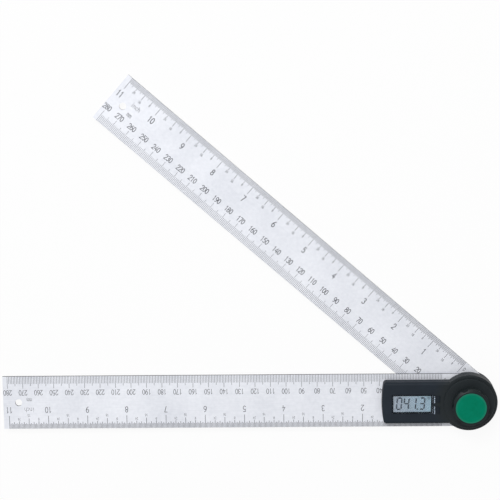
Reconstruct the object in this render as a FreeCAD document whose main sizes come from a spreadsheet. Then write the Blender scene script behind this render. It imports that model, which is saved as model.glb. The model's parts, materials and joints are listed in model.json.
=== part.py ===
"""Digital angle finder: two steel rule arms that turn on one pivot, with a display case.

Lengths are millimetres and angles degrees. The origin is where the pivot axis meets the rear
hub's flat face, +Z points out of the front, and the front arm runs along -X.
"""
import FreeCAD, Part
import math
import os
from types import SimpleNamespace

import Sketcher
from FreeCAD import Placement, Rotation, Vector

SIZES = {
    # rule blades
    "blade_width": 35.0,
    "blade_thickness": 1.2,
    "blade_reach": 300.0,
    "blade_gap": 0.8,
    "rest_angle": 41.3,
    "hang_hole_radius": 2.25,
    "hang_hole_inset": 10.0,
    # round hubs in front of and behind the blades
    "hub_overhang": 0.75,
    "hub_height": 9.5,
    "hub_ceiling_drop": 0.8,
    "hub_rim_chamfer": 0.6,
    "hub_disc_inset": 2.0,
    "hub_disc_chamfer": 0.4,
    "skirt_wall": 2.0,
    "skirt_start": 5.0,
    "skirt_clearance": 0.2,
    "rear_hub_thickness": 3.0,
    "rear_hub_edge_round": 0.8,
    # display case
    "case_reach": 55.6,
    "case_height": 7.6,
    "case_wall": 1.4,
    "case_roof": 1.2,
    "case_bow": 1.3,
    "case_corner_round": 2.0,
    "case_edge_round": 1.8,
    # window and display
    "view_far_margin": 7.2,
    "view_drop": 0.6,
    "view_width": 10.6,
    "window_seat": 0.9,
    "window_thickness": 0.8,
    "window_clearance": 0.1,
    "bezel_width": 0.9,
    "bezel_height": 0.2,
    "display_border": 1.3,
    "display_thickness": 1.4,
    "strip_width": 1.2,
    "strip_end_inset": 1.2,
    "strip_inset": 0.4,
    # circuit board and angle sensor
    "board_thickness": 0.8,
    "board_clearance": 0.4,
    "board_bore_radius": 6.4,
    "strip_height": 0.7,
    "chip_side": 5.0,
    "chip_thickness": 1.0,
    "sensor_gap": 0.3,
    "rotor_thickness": 0.8,
    "rotor_clearance": 1.1,
    # coin cell, its tray, contacts and cover
    "cell_radius": 10.0,
    "cell_thickness": 3.2,
    "cell_cap_inset": 1.1,
    "cell_cap_step": 0.3,
    "cell_play": 0.05,
    "tray_clearance": 0.15,
    "tray_side_wall": 0.75,
    "tray_far_wall": 3.15,
    "tray_near_wall": 1.1,
    "contact_thickness": 0.2,
    "contact_room": 1.2,
    "contact_length": 14.0,
    "contact_width": 5.0,
    "contact_dimple_radius": 1.5,
    "cover_lip": 0.1,
    "cover_floor": 1.0,
    "cover_fit": 0.1,
    "latch_leg_wall": 0.5,
    "latch_leg_gap": 0.25,
    "latch_toe": 0.55,
    "latch_toe_height": 0.6,
    "latch_ledge": 0.5,
    "latch_play": 0.1,
    "latch_width": 5.4,
    "latch_entry_room": 0.5,
    "latch_turn": 45.0,
    "coin_slot_length": 14.0,
    "coin_slot_width": 1.8,
    "coin_slot_depth": 0.6,
    # buttons
    "button_hub_gap": 0.3,
    "button_view_gap": 2.75,
    "power_button_y": 2.6,
    "zero_button_y": 4.6,
    "button_length": 2.9,
    "button_width": 4.4,
    "button_proud": 0.4,
    "button_fit": 0.1,
    "button_flange": 0.6,
    "button_flange_height": 0.7,
    "button_travel": 0.4,
    "button_play": 0.05,
    "stem_radius": 1.0,
    "dome_radius": 1.5,
    "dome_top_radius": 0.9,
    "dome_height": 0.35,
    # pivot
    "bolt_radius": 3.0,
    "bolt_end_chamfer": 0.5,
    "bolt_engagement": 6.2,
    "bolt_head_radius": 7.0,
    "bolt_head_thickness": 1.8,
    "bolt_head_clearance": 0.1,
    "bolt_neck_width": 7.6,
    "neck_clearance": 0.05,
    "bush_radius": 6.5,
    "bush_root_radius": 5.5,
    "bush_neck_radius": 5.0,
    "bush_neck_proud": 0.2,
    "running_clearance": 0.03,
    "friction_washer_inset": 1.5,
    "friction_washer_play": 0.05,
    "thrust_washer_radius": 7.0,
    "thrust_washer_thickness": 1.0,
    "thrust_washer_clearance": 0.1,
    # lock knob
    "knob_radius": 12.0,
    "knob_height": 10.4,
    "knob_lift": 0.4,
    "knob_foot_radius": 10.8,
    "knob_flare_height": 6.0,
    "knob_edge_width": 1.4,
    "knob_edge_drop": 0.8,
    "flute_radius": 3.4,
    "flute_depth": 0.9,
    "flute_count": 6,
    "flute_first_angle": 50.0,
    "badge_radius": 9.8,
    "badge_fit": 0.1,
    "badge_sink": 0.6,
    "badge_thickness": 0.5,
    "insert_radius": 4.6,
    "insert_length": 7.8,
    "insert_inset": 0.1,
    # screws
    "screw_radius": 1.0,
    "screw_head_radius": 1.85,
    "screw_hole_clearance": 0.1,
    "screw_sink": 0.05,
    "screw_drive_radius": 0.8,
    "screw_drive_depth": 0.5,
    "case_screw_depth": 4.6,
    "case_screw_tip_gap": 0.5,
    "boss_radius": 1.9,
    "boss_clearance": 0.25,
    "boss_far_inset": 3.6,
    "boss_near_inset": 1.5,
    "boss_side_inset": 2.95,
    "hub_screw_edge": 3.0,
    "hub_screw_count": 3,
}

FULL_TURN = 360.0
CAP_ROUND_SHARE = 0.75
# places worked out with sines and cosines keep this many digits, so that a zero stays a zero
PLACE_DIGITS = 9


class Size:
    """A size of the part: its value, and the formula that reads it from the sheet."""

    def __init__(self, value, formula):
        self.value = value
        self.formula = formula

    def joined(self, sign, other, value):
        other_formula = other.formula if isinstance(other, Size) else str(other)
        return Size(value, "(" + self.formula + sign + other_formula + ")")

    def __add__(self, other):
        return self.joined(" + ", other, self.value + plain(other))

    def __sub__(self, other):
        return self.joined(" - ", other, self.value - plain(other))

    def __mul__(self, other):
        return self.joined(" * ", other, self.value * plain(other))

    def __truediv__(self, other):
        return self.joined(" / ", other, self.value / plain(other))

    def __neg__(self):
        return Size(-self.value, "(-1 * " + self.formula + ")")


def plain(item):
    """The number that a size or a plain number stands for."""
    return item.value if isinstance(item, Size) else float(item)


ZERO = Size(0.0, "0")


def fill_sheet(document):
    """Write every driving size into the sheet and hand them back by name."""
    sheet = document.addObject("Spreadsheet::Sheet", "Sizes")
    sizes = SimpleNamespace()
    for row, (name, number) in enumerate(SIZES.items(), start=1):
        sheet.set("A%d" % row, name)
        sheet.set("B%d" % row, str(number))
        sheet.setAlias("B%d" % row, name)
        setattr(sizes, name, Size(number, "Sizes." + name))
    document.recompute()
    follow(sizes)
    return sizes


def follow(s):
    """The sizes that follow from the sheet's."""
    s.hub_radius = s.blade_width / 2 + s.hub_overhang
    s.blade_end_radius = s.hub_radius - s.skirt_wall - s.skirt_clearance
    s.hub_screw_circle = s.blade_end_radius - s.hub_screw_edge
    s.friction_washer_radius = s.blade_end_radius - s.friction_washer_inset
    # the cell's cover and latch, and the case that is as wide as they need
    s.leg_inner = s.cell_radius + s.latch_leg_gap
    s.leg_outer = s.leg_inner + s.latch_leg_wall
    s.toe_radius = s.leg_outer + s.latch_toe
    s.groove_radius = s.toe_radius + s.latch_play
    s.cover_radius = s.toe_radius + s.cover_lip
    s.case_width = (s.groove_radius + s.tray_side_wall + s.tray_clearance + s.case_wall) * 2
    s.tray_far = s.case_reach - s.case_bow - s.case_wall - s.tray_clearance
    s.cell_offset = s.tray_far - s.tray_far_wall - s.groove_radius
    s.tray_near = s.cell_offset - s.groove_radius - s.tray_near_wall
    # the buttons beside the hub, and the view between them and the case's far end
    s.button_near = s.hub_radius + s.button_hub_gap + s.button_fit
    s.button_centre_x = s.button_near + s.button_length / 2
    s.view_near = s.button_near + s.button_length + s.button_view_gap
    s.view_far = s.case_reach - s.view_far_margin
    s.view_length = s.view_far - s.view_near
    s.view_centre_x = (s.view_far + s.view_near) / 2
    s.display_length = s.view_length + s.display_border * 2
    s.display_width = s.view_width + s.display_border * 2
    # the board's ring about the pivot, and the posts for the case's screws
    s.board_ring_radius = s.hub_radius - s.skirt_wall - s.board_clearance
    s.chip_offset = (s.board_bore_radius + s.board_ring_radius) / 2
    s.boss_far_x = s.case_reach - s.boss_far_inset
    s.boss_near_x = s.tray_near - s.boss_near_inset
    s.boss_y = s.case_width / 2 - s.boss_side_inset


def bind(item, path, size):
    """Tie one property of an object to its formula."""
    item.setExpression(path, size.formula)


class Drawing:
    """A sketch on one of a body's own planes, held by sizes."""

    def __init__(self, body, name, plane="XY_Plane", lift=ZERO):
        self.item = body.newObject("Sketcher::SketchObject", name)
        base = [part for part in body.Origin.OriginFeatures if part.Role == plane][0]
        self.item.AttachmentSupport = [(base, "")]
        self.item.MapMode = "FlatFace"
        bind(self.item, "AttachmentOffset.Base.z", lift)

    def hold(self, *constraint, size=None):
        """Add a constraint, tied to a size where it has one."""
        values = constraint if size is None else constraint + (size.value,)
        number = self.item.addConstraint(Sketcher.Constraint(*values))
        if size is not None and size is not ZERO:
            bind(self.item, "Constraints[%d]" % number, size)

    def pin(self, geometry, point, x, y):
        """Hold a point of the geometry at a place measured from the origin."""
        self.hold("DistanceX", -1, 1, geometry, point, size=x)
        self.hold("DistanceY", -1, 1, geometry, point, size=y)

    def circle(self, radius, x=ZERO, y=ZERO):
        shape = Part.Circle(Vector(x.value, y.value, 0), Vector(0, 0, 1), radius.value)
        number = self.item.addGeometry(shape, False)
        self.hold("Radius", number, size=radius)
        self.pin(number, 3, x, y)
        return self

    def outline(self, *corners):
        """A closed run of straight lines from corner to corner."""
        places = [Vector(x.value, y.value, 0) for x, y in corners]
        lines = []
        for start, end in zip(places, places[1:] + places[:1]):
            lines.append(self.item.addGeometry(Part.LineSegment(start, end), False))
        for line, after in zip(lines, lines[1:] + lines[:1]):
            self.hold("Coincident", line, 2, after, 1)
        for line, (x, y) in zip(lines, corners):
            self.pin(line, 1, x, y)
        return self

    def rectangle(self, left, right, low, high):
        return self.outline((left, low), (right, low), (right, high), (left, high))

    def block(self, length, width, x=ZERO, y=ZERO):
        """A rectangle centred on a place."""
        half_length, half_width = length / 2, width / 2
        return self.rectangle(x - half_length, x + half_length, y - half_width, y + half_width)


class Piece:
    """One solid piece, built from features on its own sketches."""

    def __init__(self, document, label, level=ZERO, turn=None):
        self.document = document
        self.body = document.addObject("PartDesign::Body", label)
        self.body.Label = label
        self.features = 0
        stand(self.body, level, turn)

    def name(self, kind):
        self.features += 1
        return "%s_%s_%d" % (self.body.Name, kind, self.features)

    def draw(self, plane="XY_Plane", lift=ZERO):
        return Drawing(self.body, self.name("sketch"), plane, lift)

    def feature(self, kind, profile):
        item = self.body.newObject("PartDesign::" + kind, self.name(kind.lower()))
        item.Profile = profile.item
        return item

    def pad(self, profile, length, down=False):
        item = self.feature("Pad", profile)
        bind(item, "Length", length)
        item.Reversed = down
        return item

    def pocket(self, profile, depth, up=False):
        """Cut downwards from the sketch, or upwards."""
        before = self.volume()
        item = self.feature("Pocket", profile)
        bind(item, "Length", depth)
        item.Reversed = up
        self.expect(self.volume() < before, item)
        return item

    def spin(self, kind, profile):
        """Turn a profile, drawn on the XZ plane, about the piece's own axis."""
        item = self.feature(kind, profile)
        item.ReferenceAxis = (profile.item, ["V_Axis"])
        item.Angle = FULL_TURN
        return item

    def ring_pattern(self, feature, count):
        """Repeat a feature evenly about the piece's own axis."""
        item = self.body.newObject("PartDesign::PolarPattern", self.name("pattern"))
        item.Originals = [feature]
        axis = [part for part in self.body.Origin.OriginFeatures if part.Role == "Z_Axis"][0]
        item.Axis = (axis, [""])
        item.Angle = FULL_TURN
        bind(item, "Occurrences", count)
        self.body.Tip = item
        return item

    def edges(self, test):
        """The names of the edges whose midpoint and curve pass a test."""
        self.document.recompute()
        tip = self.body.Tip
        names = []
        for number, edge in enumerate(tip.Shape.Edges, start=1):
            middle = edge.valueAt((edge.FirstParameter + edge.LastParameter) / 2)
            if test(middle, edge):
                names.append("Edge%d" % number)
        return tip, names

    def dress(self, kind, size, test):
        """Round or chamfer the edges that pass a test."""
        tip, names = self.edges(test)
        item = self.body.newObject("PartDesign::" + kind, self.name(kind.lower()))
        item.Base = (tip, names)
        bind(item, "Radius" if kind == "Fillet" else "Size", size)
        self.expect(bool(names), item)
        return item

    def volume(self):
        self.document.recompute()
        return self.body.Shape.Volume

    def expect(self, passed, item):
        if not passed:
            raise ValueError(item.Label + " does not change its piece")


def near(first, second):
    """Whether two lengths are the same for the purpose of picking an edge."""
    return math.isclose(first, plain(second), rel_tol=1e-6, abs_tol=1e-6)


def around(radius, degrees):
    """The place at a radius and an angle about the piece's own axis."""
    angle = math.radians(degrees)
    return (radius * round(math.cos(angle), PLACE_DIGITS),
            radius * round(math.sin(angle), PLACE_DIGITS))


def levels(s):
    """The heights of the pieces' seats above the rear hub's flat face, and above the front blade."""
    z = SimpleNamespace()
    z.rear_blade = s.rear_hub_thickness
    z.friction = z.rear_blade + s.blade_thickness
    z.front_blade = z.friction + s.blade_gap
    z.case = z.front_blade + s.blade_thickness
    z.knob = z.case + s.hub_height + s.knob_lift
    # above the front blade
    z.cell = s.cell_play - (s.blade_thickness - s.cover_floor)
    z.roof = s.case_height - s.case_roof
    z.display = z.roof - s.display_thickness
    z.board_top = z.display - s.strip_height
    z.board = z.board_top - s.board_thickness
    z.rotor_top = z.board - s.sensor_gap
    z.rotor = z.rotor_top - s.rotor_thickness
    z.hub_ceiling = z.roof - s.hub_ceiling_drop
    return z


def arm_blade(piece, s, bore):
    """The flat rule: a straight blade with a smaller round end that the hub's skirt wraps."""
    start = s.skirt_start + s.skirt_clearance
    half = s.blade_width / 2
    straight = piece.draw().rectangle(-s.blade_reach, -start, -half, half)
    piece.pad(straight, s.blade_thickness)
    piece.pad(piece.draw().circle(s.blade_end_radius), s.blade_thickness)
    hang_x = s.hang_hole_inset - s.blade_reach
    piece.pocket(piece.draw().circle(bore), s.blade_thickness, up=True)
    piece.pocket(piece.draw().circle(s.hang_hole_radius, hang_x), s.blade_thickness, up=True)


def screw_holes(piece, s, places, thickness, radius):
    """Countersunk holes that open to the rear."""
    holes = piece.draw()
    for x, y in places:
        holes.circle(radius, x, y)
    piece.pocket(holes, thickness, up=True)

    def rear_rim(middle, edge):
        return near(middle.z, 0) and near(getattr(edge.Curve, "Radius", 0), radius)

    piece.dress("Chamfer", s.screw_head_radius + s.screw_sink * 2 - radius, rear_rim)


def case_screw_places(s):
    return [(-x, y) for x in (s.boss_far_x, s.boss_near_x) for y in (s.boss_y, -s.boss_y)]


def front_blade(document, s, z):
    piece = Piece(document, "front_blade", z.front_blade)
    arm_blade(piece, s, s.bush_radius + s.running_clearance)
    hatch = piece.draw().circle(s.cover_radius + s.cover_fit, -s.cell_offset)
    piece.pocket(hatch, s.blade_thickness, up=True)
    hole_radius = s.screw_radius + s.screw_hole_clearance
    screw_holes(piece, s, case_screw_places(s), s.blade_thickness, hole_radius)
    return piece.body


def hub_screw_places(s):
    """The rear hub's screws stand evenly about the pivot, the first on the far side from the arm."""
    count = int(s.hub_screw_count.value)
    return [around(s.hub_screw_circle, FULL_TURN * number / count) for number in range(count)]


def rear_blade(document, s, z):
    piece = Piece(document, "rear_blade", z.rear_blade, -s.rest_angle)
    arm_blade(piece, s, s.bush_root_radius)
    holes = piece.draw()
    for x, y in hub_screw_places(s):
        holes.circle(s.screw_radius, x, y)
    piece.pocket(holes, s.blade_thickness, up=True)
    return piece.body


def skirt(piece, s, base):
    """The ring that wraps a blade's round end, from its base up, open towards the arm."""
    rim = s.hub_radius * 2
    ring = piece.draw(lift=base).circle(s.hub_radius).circle(s.hub_radius - s.skirt_wall)
    piece.pad(ring, s.blade_thickness)
    opening = piece.draw(lift=base).rectangle(-rim, -s.skirt_start, -rim, rim)
    piece.pocket(opening, s.blade_thickness, up=True)


def rear_hub(document, s, z):
    """The black disc behind the rear blade that holds the bolt's head from turning."""
    piece = Piece(document, "rear_hub", ZERO, -s.rest_angle)
    piece.pad(piece.draw().circle(s.hub_radius), s.rear_hub_thickness)
    piece.dress("Fillet", s.rear_hub_edge_round, lambda middle, edge: near(middle.z, 0))
    skirt(piece, s, s.rear_hub_thickness)
    head_bore = s.bolt_head_radius + s.bolt_head_clearance
    piece.pocket(piece.draw().circle(head_bore), s.bolt_head_thickness, up=True)
    neck = s.bolt_neck_width + s.neck_clearance * 2
    piece.pocket(piece.draw().block(neck, neck), s.rear_hub_thickness, up=True)
    hole_radius = s.screw_radius + s.screw_hole_clearance
    screw_holes(piece, s, hub_screw_places(s), s.rear_hub_thickness, hole_radius)
    return piece.body


def case_shell(document, s, z):
    """The black front cover: display case and round hub in one moulding."""
    piece = Piece(document, "case_shell", z.case)
    half = s.case_width / 2
    bow_radius = (half * half + s.case_bow * s.case_bow) / (s.case_bow * 2)
    case_outline(piece, s, half, bow_radius)
    stepped_hub(piece, s)
    skirt(piece, s, -s.blade_thickness)
    case_hollows(piece, s, z, half)
    case_window(piece, s)
    case_bosses(piece, s, z)
    return piece.body


def case_outline(piece, s, half, bow_radius):
    """The rectangular display end, its far end slightly bowed, with soft corners and edges."""
    drawing = piece.draw()
    centre_x = bow_radius - s.case_reach
    spread = math.asin(half.value / bow_radius.value)
    arc = Part.ArcOfCircle(
        Part.Circle(Vector(centre_x.value, 0, 0), Vector(0, 0, 1), bow_radius.value),
        math.pi - spread, math.pi + spread)
    bow = drawing.item.addGeometry(arc, False)
    corner_x = centre_x.value - bow_radius.value * math.cos(spread)
    corners = [Vector(corner_x, -half.value, 0), Vector(0, -half.value, 0),
               Vector(0, half.value, 0), Vector(corner_x, half.value, 0)]
    lines = [drawing.item.addGeometry(Part.LineSegment(start, end), False)
             for start, end in zip(corners, corners[1:])]
    low, end, high = lines
    drawing.hold("Coincident", bow, 2, low, 1)
    drawing.hold("Coincident", low, 2, end, 1)
    drawing.hold("Coincident", end, 2, high, 1)
    drawing.hold("Coincident", high, 2, bow, 1)
    drawing.hold("Radius", bow, size=bow_radius)
    drawing.pin(bow, 3, centre_x, ZERO)
    drawing.pin(low, 2, ZERO, -half)
    drawing.pin(end, 2, ZERO, half)
    drawing.hold("Horizontal", low)
    drawing.hold("Horizontal", high)
    piece.pad(drawing, s.case_height)

    def far_corner(middle, edge):
        return near(middle.z, s.case_height / 2) and middle.x < -s.hub_radius.value

    def top_rim(middle, edge):
        return near(middle.z, s.case_height) and middle.x < 0

    piece.dress("Fillet", s.case_corner_round, far_corner)
    piece.dress("Fillet", s.case_edge_round, top_rim)


def stepped_hub(piece, s):
    """The round hub: a rim level with the case's top, and a disc that stands above it."""
    rim = s.hub_rim_chamfer
    disc_radius = s.hub_radius - s.hub_disc_inset
    disc = s.hub_disc_chamfer
    profile = piece.draw("XZ_Plane").outline(
        (ZERO, ZERO), (s.hub_radius, ZERO), (s.hub_radius, s.case_height - rim),
        (s.hub_radius - rim, s.case_height), (disc_radius, s.case_height),
        (disc_radius, s.hub_height - disc), (disc_radius - disc, s.hub_height),
        (ZERO, s.hub_height))
    piece.spin("Revolution", profile)


def case_hollows(piece, s, z, half):
    """The room for the cell, board and rotor, cut from the blade's side."""
    inner = half - s.case_wall
    far = s.case_wall + s.case_bow - s.case_reach
    piece.pocket(piece.draw().circle(s.hub_radius - s.skirt_wall), z.hub_ceiling, up=True)
    low_room = piece.draw().rectangle(far, -s.bush_radius, -inner, inner)
    piece.pocket(low_room, z.hub_ceiling, up=True)
    high_room = piece.draw().rectangle(far, -s.hub_radius, -inner, inner)
    piece.pocket(high_room, z.roof, up=True)
    piece.pocket(piece.draw().circle(s.bolt_radius + s.running_clearance), s.hub_height, up=True)


def case_window(piece, s):
    """The window's frame, seat and opening, and the two button holes."""
    x, y = -s.view_centre_x, -s.view_drop
    seat_length = s.view_length + s.window_seat * 2
    seat_width = s.view_width + s.window_seat * 2
    top = s.case_height
    bezel = piece.draw(lift=top)
    bezel.block(seat_length + s.bezel_width * 2, seat_width + s.bezel_width * 2, x, y)
    piece.pad(bezel, s.bezel_height)
    frame_top = top + s.bezel_height

    def bezel_rim(middle, edge):
        return near(middle.z, frame_top)

    piece.dress("Chamfer", s.bezel_height / 2, bezel_rim)
    piece.pocket(piece.draw(lift=frame_top).block(seat_length, seat_width, x, y),
                 s.bezel_height + s.window_thickness)
    piece.pocket(piece.draw(lift=top).block(s.view_length, s.view_width, x, y), s.case_roof)
    holes = piece.draw(lift=top)
    for place in (s.power_button_y, -s.zero_button_y):
        holes.block(s.button_length + s.button_fit * 2, s.button_width + s.button_fit * 2,
                    -s.button_centre_x, place)
    piece.pocket(holes, s.case_roof)


def case_bosses(piece, s, z):
    """Four posts that the case's screws bite into from behind the blade."""
    posts = piece.draw()
    for x, y in case_screw_places(s):
        posts.circle(s.boss_radius, x, y)
    piece.pad(posts, z.roof)
    holes = piece.draw()
    for x, y in case_screw_places(s):
        holes.circle(s.screw_radius, x, y)
    piece.pocket(holes, s.case_screw_depth, up=True)


def lcd_window(document, s, z):
    piece = Piece(document, "lcd_window", z.case + s.case_height - s.window_thickness)
    length = s.view_length + (s.window_seat - s.window_clearance) * 2
    width = s.view_width + (s.window_seat - s.window_clearance) * 2
    pane = piece.draw().block(length, width, -s.view_centre_x, -s.view_drop)
    piece.pad(pane, s.window_thickness)
    return piece.body


def lcd_panel(document, s, z):
    piece = Piece(document, "lcd_panel", z.case + z.display)
    glass = piece.draw().block(s.display_length, s.display_width, -s.view_centre_x, -s.view_drop)
    piece.pad(glass, s.display_thickness)
    return piece.body


def lcd_strips(document, s, z):
    """Two soft conductive strips that join the display's long edges to the board."""
    strips = []
    strip_length = s.display_length - s.strip_end_inset * 2
    reach = s.display_width / 2 - s.strip_inset - s.strip_width / 2
    for label, side in (("upper", reach), ("lower", -reach)):
        piece = Piece(document, "lcd_strip_" + label)
        bar = piece.draw().block(strip_length, s.strip_width, -s.view_centre_x,
                                 side - s.view_drop)
        piece.pad(bar, s.strip_height)
        strips.append(piece.body)
    return group(document, "lcd_strips", strips, z.case + z.board_top)


def stand(item, level, turn):
    """Set an object at its height, turned about the pivot where it belongs to the rear arm."""
    if turn is not None:
        item.Placement = Placement(Vector(0, 0, 0), Rotation(Vector(0, 0, 1), turn.value))
        bind(item, "Placement.Rotation.Angle", turn)
    bind(item, "Placement.Base.z", level)


def group(document, label, bodies, level, turn=None):
    """Several like solids kept together as one named sub-part."""
    item = document.addObject("Part::Compound", label)
    item.Label = label
    item.Links = bodies
    stand(item, level, turn)
    return item


def board_far_end(s):
    return s.case_wall + s.case_bow + s.board_clearance - s.case_reach


def main_board(document, s, z):
    """The board under the display, with the sensor's fixed ring about the pivot."""
    piece = Piece(document, "main_board", z.case + z.board)
    half = s.case_width / 2 - s.case_wall - s.board_clearance
    piece.pad(piece.draw().rectangle(board_far_end(s), -s.bush_radius, -half, half), s.board_thickness)
    piece.pad(piece.draw().circle(s.board_ring_radius), s.board_thickness)
    piece.pocket(piece.draw().circle(s.board_bore_radius), s.board_thickness, up=True)
    notches = piece.draw()
    for x, y in case_screw_places(s):
        notches.circle(s.boss_radius + s.boss_clearance, x, y)
    piece.pocket(notches, s.board_thickness, up=True)
    return piece.body


def control_chip(document, s, z):
    piece = Piece(document, "control_chip", z.case + z.board_top)
    piece.pad(piece.draw().block(s.chip_side, s.chip_side, ZERO, s.chip_offset), s.chip_thickness)
    return piece.body


def switch_domes(document, s, z):
    """The two snap domes under the buttons."""
    domes = []
    for label, y in (("power", s.power_button_y), ("zero", -s.zero_button_y)):
        dome = document.addObject("Part::Cone", "dome_" + label)
        bind(dome, "Radius1", s.dome_radius)
        bind(dome, "Radius2", s.dome_top_radius)
        bind(dome, "Height", s.dome_height)
        bind(dome, "Placement.Base.x", -s.button_centre_x)
        bind(dome, "Placement.Base.y", y)
        domes.append(dome)
    return group(document, "switch_domes", domes, z.case + z.board_top)


def button(document, s, z, label, y):
    """A key with a flange under the case's roof and a stem over its dome."""
    flange_top = z.roof - s.button_play
    flange_low = flange_top - s.button_flange_height
    stem_low = z.board_top + s.dome_height + s.button_travel + s.button_play
    piece = Piece(document, label, z.case)
    cap = piece.draw(lift=flange_low).block(s.button_length, s.button_width, -s.button_centre_x, y)
    piece.pad(cap, s.case_height + s.button_proud - flange_low)

    def cap_rim(middle, edge):
        return near(middle.z, s.case_height + s.button_proud)

    piece.dress("Fillet", s.button_proud * CAP_ROUND_SHARE, cap_rim)
    flange = piece.draw(lift=flange_low)
    flange.block(s.button_length, s.button_width + s.button_flange * 2, -s.button_centre_x, y)
    piece.pad(flange, s.button_flange_height)
    stem = piece.draw(lift=stem_low).circle(s.stem_radius, -s.button_centre_x, y)
    piece.pad(stem, flange_low - stem_low)
    return piece.body


def coin_cell(document, s, z):
    """A coin cell, its smaller pole towards the board."""
    piece = Piece(document, "coin_cell", z.case + z.cell)
    bind(piece.body, "Placement.Base.x", -s.cell_offset)
    can = s.cell_thickness - s.cell_cap_step
    piece.pad(piece.draw().circle(s.cell_radius), can)
    piece.pad(piece.draw(lift=can).circle(s.cell_radius - s.cell_cap_inset), s.cell_cap_step)
    return piece.body


def battery_cover(document, s, z):
    """The round cover with two bayonet toes, turned with a coin from behind."""
    piece = Piece(document, "battery_cover", z.front_blade)
    bind(piece.body, "Placement.Base.x", -s.cell_offset)
    piece.pad(piece.draw().circle(s.cover_radius), s.cover_floor)
    toe_low = s.blade_thickness + s.latch_ledge + s.latch_play
    toe_top = toe_low + s.latch_toe_height
    leg_height = toe_top - s.cover_floor
    legs = piece.draw(lift=s.cover_floor).circle(s.leg_outer).circle(s.leg_inner)
    piece.pad(legs, leg_height)
    toes = piece.draw(lift=toe_low).circle(s.toe_radius).circle(s.leg_inner)
    piece.pad(toes, s.latch_toe_height)
    half = s.latch_width / 2
    beside = piece.draw(lift=toe_top)
    beside.rectangle(-s.cover_radius, s.cover_radius, half, s.cover_radius)
    beside.rectangle(-s.cover_radius, s.cover_radius, -s.cover_radius, -half)
    piece.pocket(beside, leg_height)
    slot = piece.draw().block(s.coin_slot_length, s.coin_slot_width)
    piece.pocket(slot, s.coin_slot_depth, up=True)
    return piece.body


def turned_block(drawing, length, width, x, angle):
    """A rectangle centred on a place along X and turned by an angle in degrees."""
    cosine = math.cos(math.radians(angle))
    sine = math.sin(math.radians(angle))
    corners = []
    for along, across in ((-1, -1), (1, -1), (1, 1), (-1, 1)):
        forward, side = length / 2 * along, width / 2 * across
        corners.append((x + forward * cosine - side * sine, forward * sine + side * cosine))
    return drawing.outline(*corners)


def battery_tray(document, s, z):
    """The inner frame that holds the cell and gives the cover's toes their ledge."""
    piece = Piece(document, "battery_tray", z.case)
    half = s.case_width / 2 - s.case_wall - s.tray_clearance
    piece.pad(piece.draw().rectangle(-s.tray_far, -s.tray_near, -half, half), z.board)
    centre = -s.cell_offset
    groove_top = s.latch_ledge + s.latch_toe_height + s.latch_play * 2
    piece.pocket(piece.draw().circle(s.cell_radius + s.tray_clearance, centre), z.board, up=True)
    piece.pocket(piece.draw().circle(s.leg_outer + s.latch_play, centre), groove_top, up=True)
    groove = piece.draw(lift=s.latch_ledge).circle(s.groove_radius, centre)
    piece.pocket(groove, groove_top - s.latch_ledge, up=True)
    entry = turned_block(piece.draw(), s.groove_radius * 2, s.latch_width + s.latch_entry_room,
                         centre, -s.latch_turn.value)
    piece.pocket(entry, s.latch_ledge, up=True)
    notches = piece.draw()
    for x, y in case_screw_places(s):
        notches.circle(s.boss_radius + s.boss_clearance, x, y)
    piece.pocket(notches, z.board, up=True)
    tab_x = centre - s.cell_radius - s.contact_thickness
    tab = piece.draw(lift=groove_top)
    tab.block(s.contact_room, s.contact_width + s.tray_clearance * 2, tab_x)
    piece.pocket(tab, z.board - groove_top, up=True)
    return piece.body


def battery_contact_minus(document, s, z):
    """The spring under the board that presses on the cell's small pole."""
    piece = Piece(document, "battery_contact_minus", z.case)
    plate_low = z.board - s.contact_thickness
    plate = piece.draw(lift=plate_low).block(s.contact_length, s.contact_width, -s.cell_offset)
    piece.pad(plate, s.contact_thickness)
    cell_top = z.cell + s.cell_thickness
    dimple = piece.draw(lift=cell_top).circle(s.contact_dimple_radius, -s.cell_offset)
    piece.pad(dimple, plate_low - cell_top)
    return piece.body


def battery_contact_plus(document, s, z):
    """The upright tab between the tray and the cell's rim."""
    groove_top = s.latch_ledge + s.latch_toe_height + s.latch_play * 2
    piece = Piece(document, "battery_contact_plus", z.case + groove_top)
    tab_x = -s.cell_offset - s.cell_radius - s.contact_thickness / 2
    tab = piece.draw().block(s.contact_thickness, s.contact_width, tab_x)
    piece.pad(tab, z.board - groove_top)
    return piece.body


def screws(document, s, label, places, length):
    """Countersunk screws whose heads face the rear, one at each place."""
    low = s.screw_sink
    pieces = []
    for number, (x, y) in enumerate(places, start=1):
        piece = Piece(document, "%s_%d" % (label, number))
        bind(piece.body, "Placement.Base.x", x)
        bind(piece.body, "Placement.Base.y", y)
        profile = piece.draw("XZ_Plane").outline(
            (ZERO, low), (s.screw_head_radius, low),
            (s.screw_radius, low + s.screw_head_radius - s.screw_radius),
            (s.screw_radius, length), (ZERO, length))
        piece.spin("Revolution", profile)
        drive_width = s.screw_drive_radius / 2
        along = piece.draw().block(s.screw_drive_radius * 2, drive_width)
        piece.pocket(along, s.screw_drive_depth, up=True)
        across = piece.draw().block(drive_width, s.screw_drive_radius * 2)
        piece.pocket(across, s.screw_drive_depth, up=True)
        pieces.append(piece.body)
    return pieces


def case_screws(document, s, z):
    """The four screws that hold the case to the front blade."""
    length = s.blade_thickness + s.case_screw_depth - s.case_screw_tip_gap
    pieces = screws(document, s, "case_screw", case_screw_places(s), length)
    return group(document, "case_screws", pieces, z.front_blade)


def hub_screws(document, s, z):
    """The screws that hold the rear hub to the rear blade."""
    length = s.rear_hub_thickness + s.blade_thickness - s.screw_sink
    pieces = screws(document, s, "hub_screw", hub_screw_places(s), length)
    return group(document, "hub_screws", pieces, ZERO, -s.rest_angle)


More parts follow.
